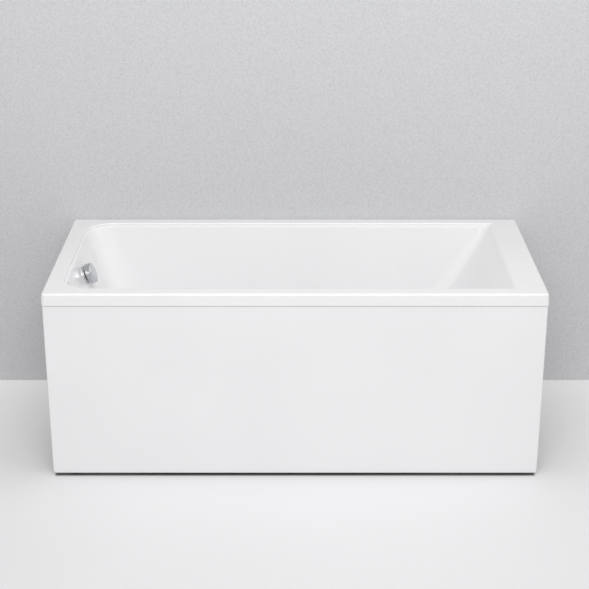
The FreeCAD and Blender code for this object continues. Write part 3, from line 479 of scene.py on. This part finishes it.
def grow(tree, carrier, slot, sizes):
    # runs a tree on a carrier mesh and returns the result as a plain mesh
    holder = bpy.data.objects.new(tree.name, carrier)
    bpy.context.scene.collection.objects.link(holder)
    modifier = holder.modifiers.new("grow", "NODES")
    modifier.node_group = tree
    values = {**sizes, "Finish": finishes[slot]}
    for item in tree.interface.items_tree:
        if item.in_out == "INPUT" and item.name in values:
            modifier[item.identifier] = values[item.name]
    bpy.context.view_layer.update()
    shape = holder.evaluated_get(bpy.context.evaluated_depsgraph_get())
    mesh = bpy.data.meshes.new_from_object(shape)
    holder.modifiers.clear()
    bpy.data.objects.remove(holder)
    return mesh


def carrierOf(name, points=(), edges=()):
    # bare mesh for a tree to grow on
    mesh = bpy.data.meshes.new(name)
    if points:
        mesh.from_pydata(points, edges, [])
    return mesh


def pathCarrier(name, paths):
    # carrier of closed paths
    points = []
    edges = []
    for path in paths:
        first = len(points)
        points += path
        edges += [(first + k, first + (k + 1) % len(path)) for k in range(len(path))]
    return carrierOf(name, points, edges)


def pathSteps(tree, given):
    # the carrier's edges as curves with evenly spaced points
    path = treeNode(tree, "GeometryNodeMeshToCurve", {"Mesh": given["Geometry"]})
    steps = treeNode(tree, "GeometryNodeResampleCurve", mode="LENGTH", links={
        "Curve": path.outputs["Curve"], "Length": given["Spacing"],
    })
    return steps.outputs["Curve"]


def squarePath(low, high, level, axis):
    # four corners round a box, at a level along an axis
    across = [k for k in range(3) if k != axis]
    path = []
    for a, b in ((low, low), (high, low), (high, high), (low, high)):
        point = [0, 0, 0]
        point[axis] = level
        point[across[0]] = a[across[0]]
        point[across[1]] = b[across[1]]
        path.append(tuple(point))
    return path


# threaded studs of the feet
stud = {
    "radius": 6.0 * mm,
    "pitch": 1.75 * mm,
    "threadDepth": 0.6 * mm,
    "turnPoints": 20,
    "chamfer": 0.9 * mm,
    "collarHeight": 8.0 * mm,
    "collarWidth": 17.0 * mm,
    "collarSides": 36,  # points round the collar, a multiple of six
    "collarBite": 0.16,  # share of its height that each turned-off end takes
    "collarTurned": 0.97,  # radius of its faces, as a share of half the width
    "pinRadius": 4.94 * mm,
    "pinHeight": 14.0 * mm,
    "coreInset": 1.4,  # depth of the thread's root, in thread depths
    "sink": 1.0 * mm,  # overlap of the core with the collar
    "segments": 32,
    "smooth": 40,
}


def makeThreadTree(sizes):
    tree, given = newTree("screw thread", sizes)
    middle = treeNode(
        tree, "ShaderNodeMath", {0: given["Radius"], 1: given["Depth"]}, operation="SUBTRACT")
    turns = treeNode(
        tree, "ShaderNodeMath", {0: given["Length"], 1: given["Pitch"]}, operation="DIVIDE")
    path = treeNode(tree, "GeometryNodeCurveSpiral", {
        "Resolution": given["Points"], "Rotations": turns.outputs[0], "Start Radius": middle.outputs[0],
        "End Radius": middle.outputs[0], "Height": given["Length"],
    })
    level = treeNode(tree, "GeometryNodeSetCurveNormal", {"Curve": path.outputs["Curve"]}, mode="Z_UP")
    ridge = treeNode(tree, "GeometryNodeCurvePrimitiveCircle", {
        "Resolution": 4, "Radius": given["Depth"],
    })
    thread = treeNode(tree, "GeometryNodeCurveToMesh", {
        "Curve": level.outputs["Curve"], "Profile Curve": ridge.outputs["Curve"], "Fill Caps": True,
    })
    return closeTree(tree, given, thread.outputs["Mesh"])


def addHexCollar(work, low):
    # a hexagon whose corners are turned off at both faces
    halfWidth = stud["collarWidth"] / 2
    turned = halfWidth * stud["collarTurned"]
    height = stud["collarHeight"]
    bite = height * stud["collarBite"]
    sides = stud["collarSides"]
    corner = halfWidth / math.cos(math.pi / 6)
    levels = [
        (turned, low), (corner, low + bite), (corner, low + height - bite), (turned, low + height),
    ]
    rings = []
    for reach, z in levels:
        ring = []
        for k in range(sides):
            turn = 2 * math.pi * k / sides
            flat = halfWidth / math.cos((turn + math.pi / 6) % (math.pi / 3) - math.pi / 6)
            out = min(reach, flat)
            ring.append(work.verts.new((out * math.cos(turn), out * math.sin(turn), z)))
        rings.append(ring)
    for a, b in zip(rings, rings[1:]):
        for k in range(sides):
            n = (k + 1) % sides
            work.faces.new((a[k], a[n], b[n], b[k]))
    work.faces.new(list(reversed(rings[0])))
    work.faces.new(rings[-1])


def makeStuds():
    sizes = {
        "Radius": stud["radius"], "Depth": stud["threadDepth"], "Pitch": stud["pitch"],
        "Length": 100 * mm, "Points": stud["turnPoints"],
    }
    threadTree = makeThreadTree(sizes)
    for corner in corners:
        node = "foot_stud_" + corner
        low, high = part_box(node)
        middle = (low + high) / 2
        collarLow = low.z + stud["pinHeight"]
        threadLow = collarLow + stud["collarHeight"]
        sizes["Length"] = high.z - stud["chamfer"] - threadLow
        thread = grow(threadTree, carrierOf(node), "zinc", sizes)
        thread.transform(Matrix.Translation((0, 0, threadLow)))
        work = bmesh.new()
        work.from_mesh(thread)
        core = stud["radius"] - stud["coreInset"] * stud["threadDepth"]
        coreLow = threadLow - stud["sink"]
        addLathe(work, [
            (0, low.z), (stud["pinRadius"], low.z), (stud["pinRadius"], collarLow), (0, collarLow),
        ], stud["segments"])
        addLathe(work, [
            (0, coreLow), (core, coreLow), (core, high.z - stud["chamfer"]),
            (core - stud["chamfer"], high.z), (0, high.z),
        ], stud["segments"])
        addHexCollar(work, collarLow)
        work.transform(Matrix.Translation((middle.x, middle.y, 0)))
        work.to_mesh(thread)
        work.free()
        smoothByAngle(thread, stud["smooth"])
        keepPiece("stud_" + corner, thread, node.replace("foot_stud", "stud"), "zinc", [node])


makeStuds()
print("studs threaded")


# wood screws: pan heads with a cross recess, set from below
screw = {
    "headRadius": 4.0 * mm,
    "headHeight": 2.5 * mm,
    "shankRadius": 2.0 * mm,
    "crossLength": 2.3 * mm,
    "crossWidth": 0.55 * mm,
    "crossDepth": 1.4 * mm,
    "faceRadius": 3.1 * mm,
    "straight": 0.5,  # share of the head's height that has straight sides
    "shoulder": (0.94, 0.8),  # middle of the rounding, as shares of radius and height
    "recessFloor": 0.6,  # width of the recess's floor, as a share of its mouth
    "taper": 0.6,
    "headSegments": 24,
    "shankSegments": 16,
    "smooth": 30,
}


def makeScrewHead():
    work = bmesh.new()
    r, h = screw["headRadius"], screw["headHeight"]
    across, down = screw["shoulder"]
    addLathe(work, [
        (screw["shankRadius"], 0), (r, 0), (r, -screw["straight"] * h), (across * r, -down * h),
        (screw["faceRadius"], -h),
    ], screw["headSegments"])
    a, b = screw["crossWidth"], screw["crossLength"]
    cross = [(b, -a), (b, a), (a, a), (a, b), (-a, b), (-a, a), (-b, a), (-b, -a), (-a, -a), (-a, -b),
             (a, -b), (a, -a)]
    share = screw["recessFloor"]
    mouth = [work.verts.new((x, y, -h)) for x, y in cross]
    deep = [work.verts.new((x * share, y * share, screw["crossDepth"] - h)) for x, y in cross]
    count = len(cross)
    rim = [work.edges.new((mouth[k], mouth[(k + 1) % count])) for k in range(count)]
    for k in range(count):
        n = (k + 1) % count
        work.faces.new((mouth[k], mouth[n], deep[n], deep[k]))
    work.faces.new(deep)
    # the face between the head's open edge and the recess
    faceLevel = -h + mergeDistance
    outer = [
        edge for edge in work.edges if len(edge.link_faces) == 1 and edge not in rim
        and all(vert.co.z < faceLevel for vert in edge.verts)
    ]
    bmesh.ops.triangle_fill(work, use_beauty=True, use_dissolve=False, edges=outer + rim)
    mesh = meshFrom(work, "screw head")
    return bpy.data.objects.new("screw head", smoothByAngle(mesh, screw["smooth"]))


def makeScrewTree(head, sizes):
    tree, given = newTree("wood screws", sizes)
    pattern = treeNode(tree, "GeometryNodeObjectInfo", {"Object": head}, transform_space="ORIGINAL")
    tip = treeNode(
        tree, "ShaderNodeMath", {0: given["Shank"], 1: given["Taper"]}, operation="MULTIPLY")
    shank = treeNode(tree, "GeometryNodeMeshCone", {
        "Vertices": screw["shankSegments"], "Depth": given["Length"],
        "Radius Bottom": given["Shank"], "Radius Top": tip.outputs[0],
    })
    both = treeNode(tree, "GeometryNodeJoinGeometry")
    tree.links.new(pattern.outputs["Geometry"], both.inputs["Geometry"])
    tree.links.new(shank.outputs["Mesh"], both.inputs["Geometry"])
    placed = treeNode(tree, "GeometryNodeInstanceOnPoints", {
        "Points": given["Geometry"], "Instance": both.outputs["Geometry"],
    })
    return closeTree(tree, given, placed.outputs["Instances"])


def makeScrews():
    sizes = {"Shank": screw["shankRadius"], "Length": 12 * mm, "Taper": screw["taper"]}
    head = makeScrewHead()
    tree = makeScrewTree(head, sizes)
    for node, name in (("board_screws", "boardScrews"), ("hanger_screws", "hangerScrews"),
                       ("clip_screws", "clipScrews")):
        solids = solidsOf(node)
        seats = [
            ((low.x + high.x) / 2, (low.y + high.y) / 2, low.z + screw["headHeight"])
            for low, high in solids
        ]
        sizes["Length"] = solids[0][1].z - seats[0][2]
        mesh = grow(tree, carrierOf(name, seats), "zinc", sizes)
        keepPiece(name, mesh, "bath", "zinc", [node])
    bpy.data.objects.remove(head)


makeScrews()
print("screws set")


# weld beads where the tubes of the frame meet, and round the weld nuts
weld = {
    "spacing": 2.1 * mm,
    "width": 2.1 * mm,
    "rise": 1.7 * mm,
    "seed": 4,
    "smallest": 0.86,  # least and greatest size of a drop
    "largest": 1.12,
    "dropSegments": 8,
    "dropRings": 5,
    "smooth": 60,
}


def makeBeadTree(sizes):
    tree, given = newTree("weld bead", sizes)
    steps = pathSteps(tree, given)
    scale = treeNode(tree, "ShaderNodeCombineXYZ", {
        "X": given["Width"], "Y": given["Width"], "Z": given["Rise"],
    })
    uneven = treeNode(tree, "FunctionNodeRandomValue", {"Seed": given["Seed"]}, data_type="FLOAT")
    uneven.inputs[2].default_value = weld["smallest"]
    uneven.inputs[3].default_value = weld["largest"]
    size = treeNode(tree, "ShaderNodeVectorMath", {0: scale.outputs[0]}, operation="SCALE")
    tree.links.new(uneven.outputs[1], size.inputs["Scale"])
    drop = treeNode(tree, "GeometryNodeMeshUVSphere", {
        "Segments": weld["dropSegments"], "Rings": weld["dropRings"], "Radius": 1.0,
    })
    tangent = treeNode(tree, "GeometryNodeInputTangent")
    turned = treeNode(
        tree, "FunctionNodeAlignRotationToVector", {"Vector": tangent.outputs[0]}, axis="X")
    placed = treeNode(tree, "GeometryNodeInstanceOnPoints", {
        "Points": steps, "Instance": drop.outputs["Mesh"],
        "Rotation": turned.outputs[0], "Scale": size.outputs[0],
    })
    return closeTree(tree, given, placed.outputs["Instances"])


def makeWelds():
    paths = []
    for corner in corners:
        low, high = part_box("post_" + corner)
        paths.append(squarePath(low, high, low.z, 2))
    for bar in ("left_end_bar", "right_end_bar", "left_cross_bar", "right_cross_bar"):
        low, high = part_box(bar)
        paths.append(squarePath(low, high, low.y, 1))
        paths.append(squarePath(low, high, high.y, 1))
    for low, high in solidsOf("foot_weld_nuts"):
        middle = (low + high) / 2
        reach = (high.x - low.x) / 2
        paths.append([
            (middle.x + reach * math.cos(turn), middle.y + reach * math.sin(turn), high.z)
            for turn in (math.pi / 3 * k for k in range(6))
        ])
    sizes = {
        "Spacing": weld["spacing"], "Width": weld["width"], "Rise": weld["rise"], "Seed": weld["seed"],
    }
    mesh = grow(makeBeadTree(sizes), pathCarrier("welds", paths), "frame_steel", sizes)
    keepPiece("weldBeads", smoothByAngle(mesh, weld["smooth"]), "bath", "frame_steel")


makeWelds()
print("welds laid")


# grip ribs of the ring nuts on hose and trap
grip = {"ribs": 24, "size": 1.3 * mm, "margin": 1.2 * mm, "sides": 8, "smooth": 50}


def makeGripTree(sizes):
    tree, given = newTree("grip ribs", sizes)
    circle = treeNode(tree, "GeometryNodeMeshCircle", {
        "Vertices": given["Ribs"], "Radius": given["Radius"],
    })
    rib = treeNode(tree, "GeometryNodeMeshCylinder", {
        "Vertices": grip["sides"], "Radius": given["Size"], "Depth": given["Length"],
    })
    placed = treeNode(tree, "GeometryNodeInstanceOnPoints", {
        "Points": circle.outputs["Mesh"], "Instance": rib.outputs["Mesh"],
    })
    return closeTree(tree, given, placed.outputs["Instances"])


def nutFrames():
    # centre, axis, radius and length of each ring nut, from its own faces
    frames = []
    slack = 0.1 * mm
    for node in ("hose_nuts", "trap_inlet_nut", "trap_outlet_nut"):
        work = bmesh.new()
        work.from_mesh(frame["nodes"][node].data)
        bmesh.ops.remove_doubles(work, verts=work.verts, dist=mergeDistance)
        for low, high in solidsOf(node):
            faces = [face for face in work.faces if all(
                low[k] - slack <= face.calc_center_median()[k] <= high[k] + slack for k in range(3))]
            # the flat ends hold the largest area that shares one direction
            ends = {}
            for face in faces:
                face.normal_update()
                key = tuple(round(abs(value), 3) for value in face.normal)
                ends.setdefault(key, [0, face.normal.copy()])
                ends[key][0] += face.calc_area()
            axis = max(ends.values(), key=lambda item: item[0])[1]
            middle = (low + high) / 2
            verts = {vert for face in faces for vert in face.verts}
            spokes = [vert.co - middle for vert in verts]
            along = [spoke.dot(axis) for spoke in spokes]
            radius = max((spoke - axis * spoke.dot(axis)).length for spoke in spokes)
            frames.append((middle, axis, radius, max(along) - min(along)))
        work.free()
    return frames


def makeGrips():
    sizes = {"Ribs": grip["ribs"], "Radius": 20 * mm, "Length": 14 * mm, "Size": grip["size"]}
    tree = makeGripTree(sizes)
    work = bmesh.new()
    for middle, axis, radius, length in nutFrames():
        sizes.update({"Radius": radius, "Length": length - 2 * grip["margin"]})
        ribs = grow(tree, carrierOf("grip ribs"), "white_plastic", sizes)
        ribs.transform(Matrix.Translation(middle) @ axis.to_track_quat("Z", "Y").to_matrix().to_4x4())
        work.from_mesh(ribs)
    mesh = smoothByAngle(meshFrom(work, "nutGrips"), grip["smooth"])
    keepPiece("nutGrips", mesh, "bath", "white_plastic")


makeGrips()
print("nut grips set")


# adhesive squeezed out along the stiffeners of the panel
glue = {
    "width": 2.4 * mm,
    "spacing": 9.0 * mm,
    "wander": 0.5 * mm,
    "sides": 8,
    "seed": 7,
    "smooth": 60,
}


def makeGlueTree(sizes):
    tree, given = newTree("glue line", sizes)
    steps = pathSteps(tree, given)
    less = treeNode(tree, "ShaderNodeMath", {0: given["Wander"], 1: -1.0}, operation="MULTIPLY")
    shift = treeNode(tree, "FunctionNodeRandomValue", {"Seed": given["Seed"]}, data_type="FLOAT_VECTOR")
    low = treeNode(tree, "ShaderNodeCombineXYZ", {"X": less.outputs[0], "Z": less.outputs[0]})
    high = treeNode(tree, "ShaderNodeCombineXYZ", {"X": given["Wander"], "Z": given["Wander"]})
    tree.links.new(low.outputs[0], shift.inputs[0])
    tree.links.new(high.outputs[0], shift.inputs[1])
    moved = treeNode(tree, "GeometryNodeSetPosition", {
        "Geometry": steps, "Offset": shift.outputs[0],
    })
    profile = treeNode(tree, "GeometryNodeCurvePrimitiveCircle", {
        "Resolution": given["Sides"], "Radius": given["Width"],
    })
    bead = treeNode(tree, "GeometryNodeCurveToMesh", {
        "Curve": moved.outputs["Geometry"], "Profile Curve": profile.outputs["Curve"],
        "Fill Caps": True,
    })
    return closeTree(tree, given, bead.outputs["Mesh"])


def makeGlue():
    paths = [squarePath(low, high, low.y, 1) for low, high in solidsOf("panel_stiffeners")]
    sizes = {
        "Width": glue["width"], "Spacing": glue["spacing"], "Wander": glue["wander"],
        "Sides": glue["sides"], "Seed": glue["seed"],
    }
    mesh = grow(makeGlueTree(sizes), pathCarrier("glue", paths), "laminate", sizes)
    keepPiece("glueLines", smoothByAngle(mesh, glue["smooth"]), "panel", "laminate")


makeGlue()
print("glue lines laid")


# domed plug cap
plug = {
    "dome": 1.0 * mm,
    "edge": 1.9 * mm,
    "hub": 1.33,  # radius of the hub, in widths of the stem
    "rings": 8,
    "segments": 72,
    "smooth": 40,
}


def makePlugCap():
    low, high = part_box("plug_cap")
    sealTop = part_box("plug_seal")[1].z
    radius = (high.x - low.x) / 2
    shoulder = high.z - plug["dome"]
    flat = radius - plug["edge"]
    top = [
        (flat * k / plug["rings"], high.z - plug["dome"] * (k / plug["rings"]) ** 2)
        for k in range(plug["rings"])
    ]
    edge = list(reversed(roundedEdge(radius, shoulder, plug["edge"])))
    hub = plug["hub"] * (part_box("plug_stem")[1].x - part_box("plug_stem")[0].x)
    work = bmesh.new()
    addLathe(work, top + edge + [
        (radius, sealTop), (hub, sealTop), (hub, low.z), (0, low.z),
    ], plug["segments"])
    work.transform(Matrix.Translation(((low.x + high.x) / 2, (low.y + high.y) / 2, 0)))
    mesh = smoothByAngle(meshFrom(work, "plugCap"), plug["smooth"])
    keepPiece("plugCap", mesh, "plug", "chrome", ["plug_cap"])


makePlugCap()
print("plug cap turned")


# studio: pale floor, grey plaster wall behind, four soft lamps and a pale sky
studio = {
    "floorSize": 12.0,
    "wallHeight": 5.0,
    "wallGap": 2.0 * mm,
    "floorColour": (0.80, 0.795, 0.808),
    "floorDim": 0.98,  # its darker patches, as a share of that
    # painted shade on the floor in the gap under the front panel: its colour, and where it starts,
    # fades and ends
    "paintedShadeColour": (0.07, 0.07, 0.075),
    "paintedShadeInset": 4.0 * mm,
    "paintedShadeFade": 6.0 * mm,
    "paintedShadeWidth": 50.0 * mm,
    "wallDark": (0.555, 0.56, 0.58),
    "wallPale": (0.645, 0.65, 0.672),
    "wallGlow": (0.25, 0.25, 0.255),  # its colour to soft light, so that it shades the rim beside it
    "worldColour": (1.0, 0.992, 0.985),
    "worldStrength": 0.62,
    "lamps": [  # name, place, aim, size, power
        ("front", (0, -3.4, 3.4), (0, 0, 0.3), 2.6, 63.0),
        ("top", (0.2, -0.8, 3.8), (0, 0, 0.4), 2.4, 36.0),
        ("side", (3.4, -0.6, 1.8), (0, 0, 0.4), 2.0, 8.0),
        ("rear", (-0.6, 3.2, 1.2), (0, 0, 0.3), 2.4, 8.0),
    ],
}


def plane(name, points, material):
    mesh = bpy.data.meshes.new(name)
    mesh.from_pydata(points, [], [(0, 1, 2, 3)])
    mesh.materials.append(material)
    thing = bpy.data.objects.new(name, mesh)
    bpy.context.scene.collection.objects.link(thing)
    return thing


def floorFinish():
    material, tree, shader, where = startMaterial("studio floor", IOR=1.4)
    tone = noise(tree, where, scale=1.5, detail=2.0)
    pale = studio["floorColour"]
    dim = tuple(studio["floorDim"] * value for value in pale)
    ground = blendColours(tree, tone, [(0.3, dim), (0.7, pale)])
    # painted shade: a dark strip on the floor in the gap under the front panel, where the shadow falls
    place = axesOf(tree, where)
    aside = combine(tree, "ABSOLUTE", place["X"])
    end = cadBox[1].x - studio["paintedShadeInset"]
    start = cadBox[0].y + studio["paintedShadeInset"]
    fade = studio["paintedShadeFade"]
    width = studio["paintedShadeWidth"]
    across = spread(tree, aside, 1, 0, end - fade, end)
    enter = spread(tree, place["Y"], 0, 1, start - fade, start + fade)
    leave = spread(tree, place["Y"], 1, 0, start + width, start + 2 * width)
    under = combine(tree, "MULTIPLY", combine(tree, "MULTIPLY", enter, leave), across)
    colourFrom(tree, shader, mixColours(tree, under, ground, studio["paintedShadeColour"]))
    roughnessFrom(tree, shader, tone, low=0.32, high=0.4)
    return material


def wallFinish():
    material, tree, shader, where = startMaterial("studio wall", Roughness=0.85)
    plaster = noise(tree, where, scale=150.0, detail=4.0, rough=0.6)
    # pits in the plaster: they sink in the relief, and their colour is darkened too, painted shade in
    # the pits
    shadedPits = spread(tree, cells(tree, where, scale=34.0), low=-0.22, high=0, fromLow=0.06, fromHigh=0.14)
    grain = combine(tree, "ADD", plaster, shadedPits)
    seen = blendColours(tree, grain, [(0.30, studio["wallDark"]), (0.60, studio["wallPale"])])
    ray = tree.nodes.new("ShaderNodeLightPath").outputs
    colourFrom(tree, shader, mixColours(tree, ray["Is Diffuse Ray"], seen, studio["wallGlow"]))
    relief(tree, shader, grain, strength=0.25, depth=2 * mm)
    # clear from behind, and below the rim's height clear to all but the camera
    out = tree.nodes["Material Output"]
    clear = tree.nodes.new("ShaderNodeBsdfTransparent")
    side = tree.nodes.new("ShaderNodeNewGeometry")
    low = combine(tree, "LESS_THAN", axesOf(tree, where)["Z"], cadBox[1].z)
    soft = combine(tree, "MULTIPLY", combine(tree, "SUBTRACT", 1, ray["Is Camera Ray"]), low)
    mix = tree.nodes.new("ShaderNodeMixShader")
    tree.links.new(combine(tree, "MAXIMUM", side.outputs["Backfacing"], soft), mix.inputs["Fac"])
    tree.links.new(shader.outputs["BSDF"], mix.inputs[1])
    tree.links.new(clear.outputs["BSDF"], mix.inputs[2])
    tree.links.new(mix.outputs["Shader"], out.inputs["Surface"])
    return material


def makeStudio():
    half = studio["floorSize"] / 2
    wallY = cadBox[1].y + studio["wallGap"]
    plane("floor", [
        (-half, -half, 0), (half, -half, 0), (half, half, 0), (-half, half, 0),
    ], floorFinish())
    wall = plane("wall", [
        (-half, wallY, 0), (half, wallY, 0), (half, wallY, studio["wallHeight"]),
        (-half, wallY, studio["wallHeight"]),
    ], wallFinish())
    wall.visible_shadow = False
    for name, place, aim, size, power in studio["lamps"]:
        lamp = bpy.data.objects.new(name, bpy.data.lights.new(name, "AREA"))
        lamp.data.size = size
        lamp.data.energy = power
        lamp.location = place
        lamp.rotation_mode = "QUATERNION"
        lamp.rotation_quaternion = (Vector(aim) - Vector(place)).to_track_quat("-Z", "Y")
        bpy.context.scene.collection.objects.link(lamp)
    world = bpy.data.worlds.new("studio")
    world.use_nodes = True
    background = world.node_tree.nodes["Background"]
    background.inputs["Color"].default_value = (*studio["worldColour"], 1)
    background.inputs["Strength"].default_value = studio["worldStrength"]
    bpy.context.scene.world = world
    bpy.context.scene.view_settings.view_transform = "Standard"


makeStudio()
print("studio lit")

bpy.context.view_layer.update()
